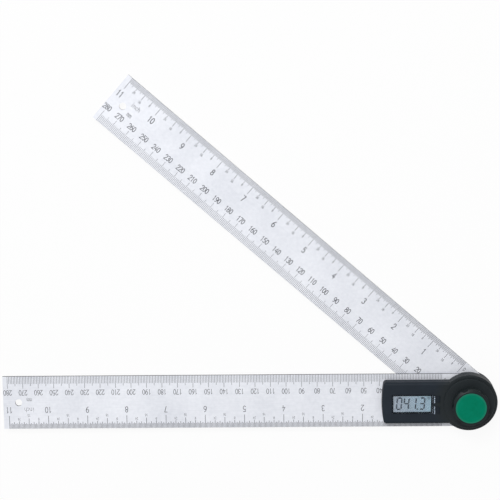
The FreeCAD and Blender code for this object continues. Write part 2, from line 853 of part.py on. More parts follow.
def pivot_bolt(document, s, z):
    """The bolt through everything, its square neck keyed in the rear hub."""
    piece = Piece(document, "pivot_bolt", ZERO, -s.rest_angle)
    head_top = s.bolt_head_thickness
    end = z.case + s.hub_height + s.thrust_washer_thickness + s.bolt_engagement
    profile = piece.draw("XZ_Plane").outline(
        (ZERO, ZERO), (s.bolt_head_radius, ZERO),
        (s.bolt_head_radius, head_top), (s.bolt_radius, head_top),
        (s.bolt_radius, end - s.bolt_end_chamfer), (s.bolt_radius - s.bolt_end_chamfer, end),
        (ZERO, end))
    piece.spin("Revolution", profile)
    neck = piece.draw(lift=head_top).block(s.bolt_neck_width, s.bolt_neck_width)
    piece.pad(neck, s.rear_hub_thickness - head_top)
    return piece.body


def pivot_bush(document, s, z):
    """The stepped bush staked in the rear blade: the front blade turns on it."""
    piece = Piece(document, "pivot_bush", z.rear_blade, -s.rest_angle)
    bore = s.bolt_radius + s.running_clearance
    shoulder = s.blade_thickness
    seat = s.blade_thickness + s.blade_gap + s.blade_thickness + z.rotor
    top = seat + s.rotor_thickness + s.bush_neck_proud
    profile = piece.draw("XZ_Plane").outline(
        (bore, ZERO), (s.bush_root_radius, ZERO), (s.bush_root_radius, shoulder),
        (s.bush_radius, shoulder), (s.bush_radius, seat), (s.bush_neck_radius, seat),
        (s.bush_neck_radius, top), (bore, top))
    piece.spin("Revolution", profile)
    return piece.body


def washer(document, label, level, outer, inner, thickness, turn=None):
    piece = Piece(document, label, level, turn)
    piece.pad(piece.draw().circle(outer).circle(inner), thickness)
    return piece.body


def lock_knob(document, s, z):
    """The fluted hand knob, hollow for its nut, with a shallow seat for the badge."""
    piece = Piece(document, "lock_knob", z.knob)
    top = s.knob_height - s.knob_lift
    edge = s.knob_edge_width
    washer_room = s.thrust_washer_thickness - s.knob_lift
    washer_radius = s.thrust_washer_radius + s.thrust_washer_clearance
    nut_top = washer_room + s.insert_inset + s.insert_length
    seat_radius = s.badge_radius + s.badge_fit
    seat = top - s.badge_sink
    profile = piece.draw("XZ_Plane").outline(
        (washer_radius, ZERO), (s.knob_foot_radius, ZERO), (s.knob_radius, s.knob_flare_height),
        (s.knob_radius, top - s.knob_edge_drop), (s.knob_radius - edge, top), (seat_radius, top),
        (seat_radius, seat), (ZERO, seat), (ZERO, nut_top), (s.insert_radius, nut_top),
        (s.insert_radius, washer_room), (washer_radius, washer_room))
    piece.spin("Revolution", profile)
    flute_place = s.knob_radius + s.flute_radius - s.flute_depth
    flute_x, flute_y = around(flute_place, s.flute_first_angle.value)
    flute = piece.draw().circle(s.flute_radius, flute_x, flute_y)
    piece.ring_pattern(piece.pocket(flute, s.knob_height, up=True), s.flute_count)
    return piece.body


def knob_insert(document, s, z):
    """The brass nut moulded into the knob."""
    level = z.case + s.hub_height + s.thrust_washer_thickness + s.insert_inset
    bore = s.bolt_radius + s.running_clearance
    return washer(document, "knob_insert", level, s.insert_radius, bore, s.insert_length)


def knob_badge(document, s, z):
    level = z.case + s.hub_height + s.knob_height - s.badge_sink
    piece = Piece(document, "knob_badge", level)
    piece.pad(piece.draw().circle(s.badge_radius), s.badge_thickness)
    return piece.body


def build(document):
    """Every sub-part that is written out, in the order it would be put together."""
    s = fill_sheet(document)
    z = levels(s)
    rotor_radius = s.hub_radius - s.skirt_wall - s.rotor_clearance
    thrust_bore = s.bolt_radius + s.running_clearance
    return [
        rear_hub(document, s, z),
        pivot_bolt(document, s, z),
        rear_blade(document, s, z),
        hub_screws(document, s, z),
        pivot_bush(document, s, z),
        washer(document, "friction_washer", z.friction, s.friction_washer_radius,
               s.bush_radius + s.running_clearance, s.blade_gap - s.friction_washer_play,
               -s.rest_angle),
        washer(document, "rotor_disc", z.case + z.rotor, rotor_radius, s.bush_neck_radius,
               s.rotor_thickness, -s.rest_angle),
        front_blade(document, s, z),
        battery_tray(document, s, z),
        coin_cell(document, s, z),
        battery_contact_minus(document, s, z),
        battery_contact_plus(document, s, z),
        battery_cover(document, s, z),
        main_board(document, s, z),
        control_chip(document, s, z),
        switch_domes(document, s, z),
        lcd_strips(document, s, z),
        lcd_panel(document, s, z),
        case_shell(document, s, z),
        lcd_window(document, s, z),
        button(document, s, z, "power_button", s.power_button_y),
        button(document, s, z, "zero_button", -s.zero_button_y),
        case_screws(document, s, z),
        washer(document, "thrust_washer", z.case + s.hub_height, s.thrust_washer_radius,
               thrust_bore, s.thrust_washer_thickness),
        lock_knob(document, s, z),
        knob_insert(document, s, z),
        knob_badge(document, s, z),
    ]


def check(document, pieces):
    """Stop with a plain message before anything is written if a piece is not sound."""
    document.recompute()
    for item in document.Objects:
        if "Invalid" in item.State or "Error" in item.State:
            raise ValueError(item.Label + " could not be built")
    for item in pieces:
        if item.Shape.isNull() or not item.Shape.isValid():
            raise ValueError(item.Label + " has no sound shape")


def write(pieces):
    os.makedirs("parts", exist_ok=True)
    for item in pieces:
        item.Shape.exportStep("parts/" + item.Label + ".step")


def main():
    document = FreeCAD.newDocument("AngleFinder")
    pieces = build(document)
    check(document, pieces)
    write(pieces)
    for item in pieces:
        box = item.Shape.BoundBox
        print("%-22s solids %d  volume %10.2f  z %6.2f to %6.2f" % (
            item.Label, len(item.Shape.Solids), item.Shape.Volume, box.ZMin, box.ZMax))


main()
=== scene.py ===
"""Looks of a digital angle finder: two etched steel rules on one pivot, with a display case.

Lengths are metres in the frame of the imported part: the pivot is the Z axis, the front rule runs
along -X, and +Z points out of the front.
"""
import json
import math

import bmesh
import bpy
from mathutils import Matrix, Vector


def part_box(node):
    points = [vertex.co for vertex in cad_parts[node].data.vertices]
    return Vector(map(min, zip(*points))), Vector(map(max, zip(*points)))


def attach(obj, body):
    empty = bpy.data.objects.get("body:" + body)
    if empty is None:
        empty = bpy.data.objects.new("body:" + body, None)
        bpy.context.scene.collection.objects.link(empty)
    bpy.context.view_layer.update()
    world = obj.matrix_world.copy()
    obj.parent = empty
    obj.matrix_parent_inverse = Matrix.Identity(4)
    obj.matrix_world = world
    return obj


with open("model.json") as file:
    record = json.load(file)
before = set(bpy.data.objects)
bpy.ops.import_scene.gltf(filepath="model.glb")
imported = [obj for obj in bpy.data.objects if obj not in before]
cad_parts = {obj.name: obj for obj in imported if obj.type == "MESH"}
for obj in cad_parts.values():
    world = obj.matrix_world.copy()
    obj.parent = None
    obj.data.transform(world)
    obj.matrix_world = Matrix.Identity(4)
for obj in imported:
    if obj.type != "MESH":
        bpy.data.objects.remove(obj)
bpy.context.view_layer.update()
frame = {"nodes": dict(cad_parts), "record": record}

MM = 0.001
INCH = 25.4 * MM

# the camera: its place, where it looks and its lens for a sensor 36 mm wide
CAMERA_PLACE = Vector((-0.1198, 0.3078, 1.0637))
CAMERA_FORWARD = Vector((-0.018, -0.19325, -0.98097))
CAMERA_UP = Vector((0.0081, 0.98107, -0.19335))
CAMERA_LENS = 122.4
CAMERA_REACH = 10.0

# the light: what the room gives soft objects, what camera and mirrors see of it, and two lamps
ROOM_LIGHT = 0.3
ROOM_WHITE = 1.0
KEY_LAMP = {"place": (-0.38, 0.85, 1.25), "size": 0.4, "power": 13.4}
FILL_LAMP = {"place": (-0.33, -0.3, 1.05), "size": 0.45, "power": 1.0}
LAMP_AIM = Vector((-0.13, 0.05, 0.0))
FLOOR_SIZE = 6.0
FLOOR_DROP = 0.2 * MM
FLOOR_GLOW_SHARE = 0.93

# etched scales: distances run outwards from the pivot, and lengths inwards from the rule's edge
SCALE_ZERO = 17.0 * MM
SCALE_LENGTH_MM = 280
SCALE_LENGTH_INCHES = 11
PARTS_OF_INCH = 32
MM_LINE_WIDTH = 0.22 * MM
INCH_LINE_WIDTH = 0.29 * MM
REAR_LINE_WEIGHT = 0.85
REAR_NUMERAL_WEIGHT = 1.3
MM_LINES = {1: 4.9 * MM, 5: 6.4 * MM, 10: 8.0 * MM}
INCH_LINES = {1: 3.2 * MM, 2: 3.7 * MM, 4: 4.4 * MM, 8: 5.0 * MM, 16: 6.9 * MM, 32: 8.6 * MM}
ETCH_HEIGHT = 0.015 * MM
ETCH_ROOT = 0.01 * MM
CASE_GAP = 0.15 * MM
CASE_HALF_WIDTH = 13.7 * MM

# numerals of the scales: height, and distance aside from the rule's centre line
MM_NUMERAL = {"height": 3.3 * MM, "aside": 6.6 * MM}
INCH_NUMERAL = {"height": 3.8 * MM, "aside": 5.0 * MM}
HALF_INCH_NUMERAL = {"height": 1.7 * MM, "aside": 8.8 * MM}
QUARTER_INCH_NUMERAL = {"height": 1.6 * MM, "aside": 11.2 * MM}
ZERO_NUMERAL = {"height": 2.4 * MM, "aside": 13.3 * MM, "distance": 14.8 * MM}
UNIT_NAME = {"height": 3.0 * MM, "distance": 283.2 * MM,
             "mm_aside": 1.5 * MM, "inch_aside": 4.9 * MM}

# lettering: glyph width, gap and stroke as shares of its height
GLYPH_WIDTH_SHARE = 0.43
GLYPH_GAP_SHARE = 0.14
STROKE_SHARE = 0.09
UNIT_STROKE_SHARE = 0.055

# the display's figures, measured from the corner of the view inside the window's hidden lip
WINDOW_LIP = 0.8 * MM
READING = "041.3"
FIGURE_HEIGHT = 8.4 * MM
FIGURE_WIDTH = 3.8 * MM
FIGURE_PITCH = 4.6 * MM
FIGURE_POINT_ROOM = 0.9 * MM
FIGURE_STROKE = 0.95 * MM
FIGURE_GAP = 0.1 * MM
FIGURE_LEAN = 0.09
FIGURE_LEFT = 1.55 * MM
FIGURE_RISE = 1.3 * MM
FIGURE_THICKNESS = 0.02 * MM
DEGREE_RADIUS = 0.6 * MM

# lettering beside the two keys
KEY_NAMES = {"power_button": "ON/OFF", "zero_button": "ZERO"}
KEY_NAME_HEIGHT = 1.45 * MM
KEY_NAME_LENGTH = 4.7 * MM
KEY_NAME_GAP = 0.35 * MM
KEY_NAME_STROKE_SHARE = 0.18

# finishes: shared settings, then sizes of patterns and depths of relief
RULE_STEEL = {"roughness": 0.5, "metallic": 0.2, "specular": 0.12}
RULE_EDGE_ROUGHNESS = 0.85
CLOUD_SIZE = 24 * MM
MOTTLE_SIZE = 2.2 * MM
FLOW_MARK_SIZE = 9 * MM
SPARK_DEPTH = 0.012 * MM
SPARK_GLOSS = 0.06
CASE_PLASTIC = {"roughness": 0.52, "grain": 0.16 * MM, "specular": 0.16}
# HUB_FADE: how far past the hub's rim its painted lighter tone fades out
HUB_FADE = 6 * MM
GROOVE_PITCH = 0.62832 * MM
GROOVE_DEPTH = 0.003 * MM
GRIND_WIDTH = 0.12 * MM
GRIND_LENGTH = 14 * MM
GRIND_DEPTH = 0.002 * MM
BADGE_RIM_START = 0.86
COATED_IOR = 1.2
TRACK_PITCH = 0.96154 * MM
TRACK_DEPTH = 0.02 * MM
RUBBER_LAYER_PITCH = 1.9635 * MM

# what Blender's textures do at a scale of 1: a wave's phase per metre, a brick row's height
WAVE_PHASE = 20.0
BRICK_ROW = 0.25


def srgb(red, green, blue):
    """A colour written as 0 to 255 in a picture, as the linear colour that Blender works in."""
    def linear(level):
        level = level / 255
        return level / 12.92 if level <= 0.04045 else ((level + 0.055) / 1.055) ** 2.4
    return (linear(red), linear(green), linear(blue), 1.0)


class Finish:
    """A material in the making: one Principled shader and the nodes that drive it."""

    def __init__(self, name, colour, roughness, metallic=0.0, specular=0.5):
        self.material = bpy.data.materials.new(name)
        self.material.use_nodes = True
        self.tree = self.material.node_tree
        self.tree.nodes.clear()
        self.output = self.tree.nodes.new("ShaderNodeOutputMaterial")
        self.shader = self.tree.nodes.new("ShaderNodeBsdfPrincipled")
        self.link(self.shader.outputs["BSDF"], self.output.inputs["Surface"])
        self.shader.inputs["Base Color"].default_value = colour
        self.shader.inputs["Roughness"].default_value = roughness
        self.shader.inputs["Metallic"].default_value = metallic
        self.shader.inputs["Specular IOR Level"].default_value = specular
        self.place = self.tree.nodes.new("ShaderNodeTexCoord").outputs["Object"]

    def link(self, source, target):
        """Join an output socket to an input socket."""
        self.tree.links.new(source, target)

    def node(self, kind, **settings):
        """A new shader node of a kind, with some of its settings."""
        node = self.tree.nodes.new("ShaderNode" + kind)
        for name, value in settings.items():
            setattr(node, name, value)
        return node

    def mapped(self, centre=(0, 0, 0), turn=0.0, stretch=(1, 1, 1)):
        """Object coordinates seen from a centre, turned about Z and stretched."""
        mapping = self.node("Mapping", vector_type="TEXTURE")
        mapping.inputs["Location"].default_value = centre
        mapping.inputs["Rotation"].default_value = (0, 0, turn)
        mapping.inputs["Scale"].default_value = stretch
        self.link(self.place, mapping.inputs["Vector"])
        return mapping.outputs["Vector"]

    def noise(self, size, place=None, detail=2.0):
        """Noise whose blotches are about one size across, from 0 to 1."""
        noise = self.node("TexNoise")
        noise.inputs["Scale"].default_value = 1 / size
        noise.inputs["Detail"].default_value = detail
        self.link(place or self.place, noise.inputs["Vector"])
        return noise.outputs["Fac"]

    def between(self, fac, low, high, start=0.3, end=0.7):
        """Numbers or colours from low to high as fac goes from start to end."""
        if isinstance(low, tuple):
            ramp = self.node("ValToRGB")
            ramp.color_ramp.elements[0].position = start
            ramp.color_ramp.elements[0].color = low
            ramp.color_ramp.elements[1].position = end
            ramp.color_ramp.elements[1].color = high
            self.link(fac, ramp.inputs["Fac"])
            return ramp.outputs["Color"]
        spread = self.node("MapRange")
        for name, value in (("From Min", start), ("From Max", end),
                            ("To Min", low), ("To Max", high)):
            spread.inputs[name].default_value = value
        self.link(fac, spread.inputs["Value"])
        return spread.outputs["Result"]

    def mix(self, fac, first, second, blend="MIX"):
        """Two colours mixed by a number."""
        mix = self.node("Mix", data_type="RGBA", blend_type=blend)
        for name, value in (("Factor", fac), ("A", first), ("B", second)):
            kind = "NodeSocketFloat" if name == "Factor" else "NodeSocketColor"
            sockets = [s for s in mix.inputs if s.name == name and s.bl_idname.startswith(kind)]
            if isinstance(value, (float, tuple)):
                sockets[0].default_value = value
            else:
                self.link(value, sockets[0])
        return [s for s in mix.outputs if s.bl_idname == "NodeSocketColor"][0]

    def greater(self, first, second):
        """The greater of two numbers."""
        most = self.node("Math", operation="MAXIMUM")
        self.link(first, most.inputs[0])
        self.link(second, most.inputs[1])
        return most.outputs["Value"]

    def upright(self):
        """1 on faces that stand upright, 0 on faces that lie flat."""
        apart = self.node("SeparateXYZ")
        self.link(self.place.node.outputs["Normal"], apart.inputs["Vector"])
        size = self.node("Math", operation="ABSOLUTE")
        self.link(apart.outputs["Z"], size.inputs[0])
        return self.between(size.outputs["Value"], 1.0, 0.0, 0.4, 0.6)

    def from_axis(self, centre=(0, 0, 0)):
        """The distance from an axis along Z."""
        flat = self.node("VectorMath", operation="MULTIPLY")
        flat.inputs[1].default_value = (1, 1, 0)
        self.link(self.mapped(centre=centre), flat.inputs[0])
        distance = self.node("VectorMath", operation="LENGTH")
        self.link(flat.outputs["Vector"], distance.inputs[0])
        return distance.outputs["Value"]

    def drive(self, name, source):
        """Let a socket drive one input of the shader."""
        self.link(source, self.shader.inputs[name])

    def bump(self, height, depth):
        """Relief from a height that runs from 0 to 1 over a real depth."""
        bump = self.node("Bump")
        bump.inputs["Distance"].default_value = depth
        self.link(height, bump.inputs["Height"])
        self.link(bump.outputs["Normal"], self.shader.inputs["Normal"])

    def spark(self, roughness, grain):
        """The fine spark grain of a mould, in gloss and relief."""
        speck = self.noise(grain)
        self.drive("Roughness", self.between(speck, roughness - SPARK_GLOSS,
                                             roughness + SPARK_GLOSS))
        self.bump(speck, SPARK_DEPTH)

    def give_way(self, fac, other):
        """The Principled shader gives way to another as fac goes from 0 to 1."""
        mixed = self.node("MixShader")
        self.link(fac, mixed.inputs["Fac"])
        self.link(self.shader.outputs["BSDF"], mixed.inputs[1])
        self.link(other, mixed.inputs[2])
        self.link(mixed.outputs["Shader"], self.output.inputs["Surface"])


def moulded(name, dark, light, roughness, grain, specular):
    """Moulded plastic or rubber: fine spark grain, faint flow marks, uneven gloss."""
    finish = Finish(name, light, roughness, specular=specular)
    flow = finish.noise(FLOW_MARK_SIZE, detail=3.0)
    finish.drive("Base Color", finish.between(flow, dark, light))
    finish.spark(roughness, grain)
    return finish.material


def front_cover(name, display_end, hub, hub_radius, roughness, grain, specular):
    """Moulded plastic in one moulding whose round hub is painted a little lighter and more neutral
    than the display end: painted light, not a colour of its own.
    """
    finish = Finish(name, hub, roughness, specular=specular)
    # painted light: the hub's lighter tone fades into the display end's tone just past the hub's
    # rim
    hub_light_fade = finish.between(finish.from_axis(), 0.0, 1.0, hub_radius, hub_radius + HUB_FADE)
    colour = finish.mix(hub_light_fade, hub, display_end)
    flow = finish.between(finish.noise(FLOW_MARK_SIZE, detail=3.0),
                          srgb(232, 232, 232), srgb(255, 255, 255))
    finish.drive("Base Color", finish.mix(1.0, colour, flow, blend="MULTIPLY"))
    finish.spark(roughness, grain)
    return finish.material


def brushed(name, dark, light, roughness, turn=0.0, edge=None, metallic=1.0, specular=0.5):
    """Metal ground along one direction, a little cloudy; upright faces take the edge tone where
    one is given, partly a duller cut finish and partly painted shade.
    """
    finish = Finish(name, light, roughness, metallic=metallic, specular=specular)
    along = finish.mapped(turn=turn, stretch=(GRIND_LENGTH / GRIND_WIDTH, 1, 1))
    lines = finish.noise(GRIND_WIDTH, along, detail=4.0)
    tone = finish.mix(0.4, finish.noise(CLOUD_SIZE), finish.noise(MOTTLE_SIZE))
    tone = finish.mix(0.35, tone, lines)
    colour = finish.between(tone, dark, light)
    gloss = finish.between(lines, roughness - 0.05, roughness + 0.07)
    # upright faces: the near-black edge tone is partly the duller cut edge and partly painted
    # shade of the dark gap between the two rules
    if edge:
        upright = finish.upright()
        colour = finish.mix(upright, colour, edge)
        dull = finish.between(upright, 0.0, RULE_EDGE_ROUGHNESS, 0.0, 1.0)
        gloss = finish.greater(gloss, dull)
    finish.drive("Base Color", colour)
    finish.drive("Roughness", gloss)
    finish.bump(lines, GRIND_DEPTH)
    return finish.material


def turned(name, dark, light, roughness, centre=(0, 0, 0)):
    """Metal turned on a lathe about an axis along Z."""
    finish = Finish(name, light, roughness, metallic=1.0)
    rings = finish.node("TexWave", wave_type="RINGS", rings_direction="Z", wave_profile="SIN")
    rings.inputs["Scale"].default_value = math.tau / (WAVE_PHASE * GROOVE_PITCH)
    rings.inputs["Distortion"].default_value = 0.4
    finish.link(finish.mapped(centre=centre), rings.inputs["Vector"])
    grooves = rings.outputs["Fac"]
    finish.drive("Base Color", finish.between(finish.noise(3 * MM), dark, light))
    finish.drive("Roughness", finish.between(grooves, roughness - 0.05, roughness + 0.05))
    finish.bump(grooves, GROOVE_DEPTH)
    return finish.material


def printed(name, dark, light, roughness):
    """Ink that covers a little unevenly."""
    finish = Finish(name, light, roughness, specular=0.2)
    finish.drive("Base Color", finish.between(finish.noise(0.5 * MM), dark, light))
    return finish.material


def badge_green(name, centre, radius):
    """Green enamel, a little paler towards its rim."""
    finish = Finish(name, srgb(0, 127, 96), 0.32, specular=0.05)
    rim = finish.between(finish.from_axis(centre), 0.0, 1.0, radius * BADGE_RIM_START, radius)
    clouds = finish.between(finish.noise(4 * MM), srgb(0, 122, 91), srgb(2, 131, 101))
    finish.drive("Base Color", finish.mix(rim, clouds, srgb(40, 131, 106)))
    orange_peel = finish.noise(0.35 * MM)
    finish.drive("Roughness", finish.between(orange_peel, 0.28, 0.38))
    finish.bump(orange_peel, 0.004 * MM)
    return finish.material


def display_grey(name, low, high):
    """The reflective back of the display: grey on the left, paler and greener on the right."""
    finish = Finish(name, srgb(140, 155, 166), 0.5, specular=0.1)
    apart = finish.node("SeparateXYZ")
    finish.link(finish.place, apart.inputs["Vector"])
    share = finish.between(apart.outputs["X"], 0.0, 1.0, low.x, high.x)
    across = finish.between(share, srgb(120, 127, 136), srgb(107, 127, 139), 0.0, 1.0)
    mottle = finish.between(finish.noise(0.3 * MM), srgb(245, 245, 245), srgb(255, 255, 255))
    finish.drive("Base Color", finish.mix(1.0, across, mottle, blend="MULTIPLY"))
    return finish.material


def clear_pane(name):
    """Clear acrylic with a coat against glare, which lets the lamps' light through."""
    finish = Finish(name, srgb(250, 252, 253), 0.03)
    finish.shader.inputs["Transmission Weight"].default_value = 1.0
    finish.shader.inputs["IOR"].default_value = COATED_IOR
    scratches = finish.noise(0.8 * MM, finish.mapped(stretch=(6, 1, 1)), detail=5.0)
    finish.drive("Roughness", finish.between(scratches, 0.02, 0.06))
    shadow_ray = finish.node("LightPath").outputs["Is Shadow Ray"]
    finish.give_way(shadow_ray, finish.node("BsdfTransparent").outputs["BSDF"])
    return finish.material


def circuit_board(name):
    """Green solder mask over copper tracks."""
    finish = Finish(name, srgb(20, 78, 48), 0.4, specular=0.5)
    tracks = finish.node("TexBrick", offset=0.5)
    tracks.inputs["Scale"].default_value = BRICK_ROW / TRACK_PITCH
    tracks.inputs["Mortar Size"].default_value = 0.03
    finish.link(finish.place, tracks.inputs["Vector"])
    on_track = tracks.outputs["Fac"]
    finish.drive("Base Color", finish.mix(on_track, srgb(18, 74, 45), srgb(58, 122, 76)))
    finish.bump(on_track, TRACK_DEPTH)
    return finish.material


def striped_rubber(name):
    """Soft strip of alternate conducting and insulating layers."""
    finish = Finish(name, srgb(90, 90, 92), 0.6, specular=0.3)
    layers = finish.node("TexWave", wave_type="BANDS", bands_direction="X")
    layers.inputs["Scale"].default_value = math.tau / (WAVE_PHASE * RUBBER_LAYER_PITCH)
    finish.link(finish.place, layers.inputs["Vector"])
    colour = finish.between(layers.outputs["Fac"], srgb(25, 25, 27), srgb(205, 140, 140))
    finish.drive("Base Color", colour)
    return finish.material


def dress_nodes(arm_turn):
    """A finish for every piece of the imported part."""
    badge_low, badge_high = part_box("knob_badge")
    badge_centre = (badge_low + badge_high) / 2
    badge_radius = (badge_high.x - badge_low.x) / 2
    cell_low, cell_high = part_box("coin_cell")
    hub_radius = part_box("case_shell")[1].y
    # edge is near black: partly the rules' duller cut edges, partly painted shade of the gap and
    # contact shadow between the rules
    steel = dict(RULE_STEEL, dark=srgb(219, 222, 230), light=srgb(245, 247, 253),
                 edge=srgb(28, 30, 35))
    case = moulded("case_plastic", srgb(20, 29, 38), srgb(25, 34, 43), **CASE_PLASTIC)
    # the cover's second tone is painted light: one moulding, its hub painted a little lighter and
    # more neutral than the display end
    cover = front_cover("cover_plastic", srgb(29, 37, 46), srgb(34, 40, 43), hub_radius,
                        **CASE_PLASTIC)
    knob = moulded("knob_plastic", srgb(18, 26, 28), srgb(24, 32, 34), 0.42, 0.2 * MM, 0.16)
    keys = moulded("key_plastic", srgb(16, 24, 32), srgb(22, 30, 38), 0.5, 0.12 * MM, 0.16)
    screw = turned("screw_black_zinc", srgb(62, 63, 66), srgb(84, 85, 88), 0.38)
    spring = brushed("spring_nickel", srgb(186, 182, 170), srgb(208, 204, 192), 0.25)
    brass = turned("brass", srgb(182, 146, 78), srgb(205, 170, 98), 0.28)
    zinc = turned("bolt_zinc", srgb(172, 176, 180), srgb(196, 199, 202), 0.3)
    finishes = {
        "front_blade": brushed("front_rule_steel", **steel),
        "rear_blade": brushed("rear_rule_steel", turn=arm_turn, **steel),
        "case_shell": cover,
        "rear_hub": case,
        "battery_cover": case,
        "battery_tray": moulded("tray_plastic", srgb(30, 32, 36), srgb(38, 40, 44), 0.5,
                                0.2 * MM, 0.4),
        "power_button": keys,
        "zero_button": keys,
        "lock_knob": knob,
        "knob_badge": badge_green("badge_enamel", badge_centre, badge_radius),
        "knob_insert": brass,
        "pivot_bush": brass,
        "pivot_bolt": zinc,
        "thrust_washer": zinc,
        "case_screws": screw,
        "hub_screws": screw,
        "friction_washer": moulded("washer_resin", srgb(222, 220, 210), srgb(236, 234, 226), 0.45,
                                   0.3 * MM, 0.4),
        "rotor_disc": circuit_board("rotor_laminate"),
        "main_board": circuit_board("board_laminate"),
        "control_chip": moulded("chip_resin", srgb(24, 24, 26), srgb(34, 34, 36), 0.55,
                                0.1 * MM, 0.4),
        "switch_domes": spring,
        "battery_contact_minus": spring,
        "battery_contact_plus": spring,
        "coin_cell": turned("cell_nickel", srgb(190, 192, 194), srgb(214, 216, 218), 0.24,
                            (cell_low + cell_high) / 2),
        "lcd_strips": striped_rubber("strip_rubber"),
        "lcd_panel": display_grey("display_back", *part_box("lcd_panel")),
        "lcd_window": clear_pane("window_acrylic"),
    }
    for name, finish in finishes.items():
        node = frame["nodes"][name]
        node.data.materials.clear()
        node.data.materials.append(finish)


def add_piece(name, mesh, body, material):
    """A finished mesh, in place in the part's frame, that moves with one body."""
    mesh.name = name
    mesh.materials.clear()
    mesh.materials.append(material)
    piece = bpy.data.objects.new(name, mesh)
    bpy.context.scene.collection.objects.link(piece)
    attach(piece, body)


def rule_lines_tree(name, steps):
    """Lines across a rule: each that falls on a coarser step is longer.

    The tree lays the lines along -X from the rule's own zero, from one edge inwards.
    """
    tree = bpy.data.node_groups.new(name, "GeometryNodeTree")
    tree.interface.new_socket("Geometry", in_out="OUTPUT", socket_type="NodeSocketGeometry")
    inputs = {"Zero": "Float", "Pitch": "Float", "Count": "Int", "Edge": "Float", "Side": "Float",
              "Line Width": "Float", "Covered Reach": "Float", "Covered Length": "Float",
              "Base": "Float", "Height": "Float", "Ink": "Material"}
    for step in steps:
        inputs["Length %d" % step] = "Float"
    for label, kind in inputs.items():
        tree.interface.new_socket(label, in_out="INPUT", socket_type="NodeSocket" + kind)
    source = tree.nodes.new("NodeGroupInput").outputs

    def math_node(operation, *values):
        """One step of sums, on sockets or plain numbers."""
        node = tree.nodes.new("ShaderNodeMath")
        node.operation = operation
        for socket, value in zip(node.inputs, values):
            if isinstance(value, (int, float)):
                socket.default_value = value
            else:
                tree.links.new(value, socket)
        return node.outputs["Value"]

    def choose(flag, no, yes):
        """One of two numbers, by a flag."""
        node = tree.nodes.new("GeometryNodeSwitch")
        node.input_type = "FLOAT"
        for label, value in (("Switch", flag), ("False", no), ("True", yes)):
            tree.links.new(value, node.inputs[label])
        return node.outputs["Output"]

    def vector(x=None, y=None, z=None):
        """A vector from some of its three numbers."""
        node = tree.nodes.new("ShaderNodeCombineXYZ")
        for label, value in (("X", x), ("Y", y), ("Z", z)):
            if value is not None:
                tree.links.new(value, node.inputs[label])
        return node.outputs["Vector"]

    line = tree.nodes.new("GeometryNodeMeshLine")
    tree.links.new(source["Count"], line.inputs["Count"])
    for label, name in (("Start Location", "Zero"), ("Offset", "Pitch")):
        backwards = math_node("MULTIPLY", source[name], -1.0)
        tree.links.new(vector(x=backwards), line.inputs[label])

    number = tree.nodes.new("GeometryNodeInputIndex").outputs["Index"]
    length = source["Length %d" % steps[0]]
    for step in steps[1:]:
        on_step = math_node("LESS_THAN", math_node("MODULO", number, step), 0.5)
        length = choose(on_step, length, source["Length %d" % step])
    reach = math_node("MULTIPLY_ADD", number, source["Pitch"], source["Zero"])
    covered = math_node("LESS_THAN", reach, source["Covered Reach"])
    length = choose(covered, length, math_node("MINIMUM", length, source["Covered Length"]))

    from_centre = math_node("SUBTRACT", source["Edge"], math_node("MULTIPLY", length, 0.5))
    middle = math_node("MULTIPLY_ADD", source["Height"], 0.5, source["Base"])
    shift = tree.nodes.new("GeometryNodeSetPosition")
    tree.links.new(line.outputs["Mesh"], shift.inputs["Geometry"])
    tree.links.new(vector(y=math_node("MULTIPLY", from_centre, source["Side"]), z=middle),
                   shift.inputs["Offset"])

    bar = tree.nodes.new("GeometryNodeMeshCube")
    bars = tree.nodes.new("GeometryNodeInstanceOnPoints")
    tree.links.new(shift.outputs["Geometry"], bars.inputs["Points"])
    tree.links.new(bar.outputs["Mesh"], bars.inputs["Instance"])
    tree.links.new(vector(source["Line Width"], length, source["Height"]), bars.inputs["Scale"])
    real = tree.nodes.new("GeometryNodeRealizeInstances")
    tree.links.new(bars.outputs["Instances"], real.inputs["Geometry"])
    ink = tree.nodes.new("GeometryNodeSetMaterial")
    tree.links.new(real.outputs["Geometry"], ink.inputs["Geometry"])
    tree.links.new(source["Ink"], ink.inputs["Material"])
    target = tree.nodes.new("NodeGroupOutput")
    tree.links.new(ink.outputs["Geometry"], target.inputs["Geometry"])
    return tree


def grown_mesh(tree, values):
    """The plain mesh that a tree makes with these inputs."""
    holder = bpy.data.objects.new("grower", bpy.data.meshes.new("grower"))
    bpy.context.scene.collection.objects.link(holder)
    modifier = holder.modifiers.new("grow", "NODES")
    modifier.node_group = tree
    for item in tree.interface.items_tree:
        if item.in_out == "INPUT":
            modifier[item.identifier] = values[item.name]
    grown = holder.evaluated_get(bpy.context.evaluated_depsgraph_get())
    mesh = bpy.data.meshes.new_from_object(grown)
    holder.modifiers.remove(modifier)
    bpy.data.objects.remove(holder)
    return mesh


def arc(x, y, wide, tall, start, end, steps):
    """Points along an ellipse from one angle to another, in degrees anticlockwise from +X."""
    points = []
    for number in range(steps + 1):
        angle = math.radians(start + (end - start) * number / steps)
        points.append((x + wide * math.cos(angle), y + tall * math.sin(angle)))
    return points


def upside_down(strokes):
    """A glyph's strokes, turned by half a turn."""
    return [[(1 - x, 1 - y) for x, y in stroke] for stroke in strokes]


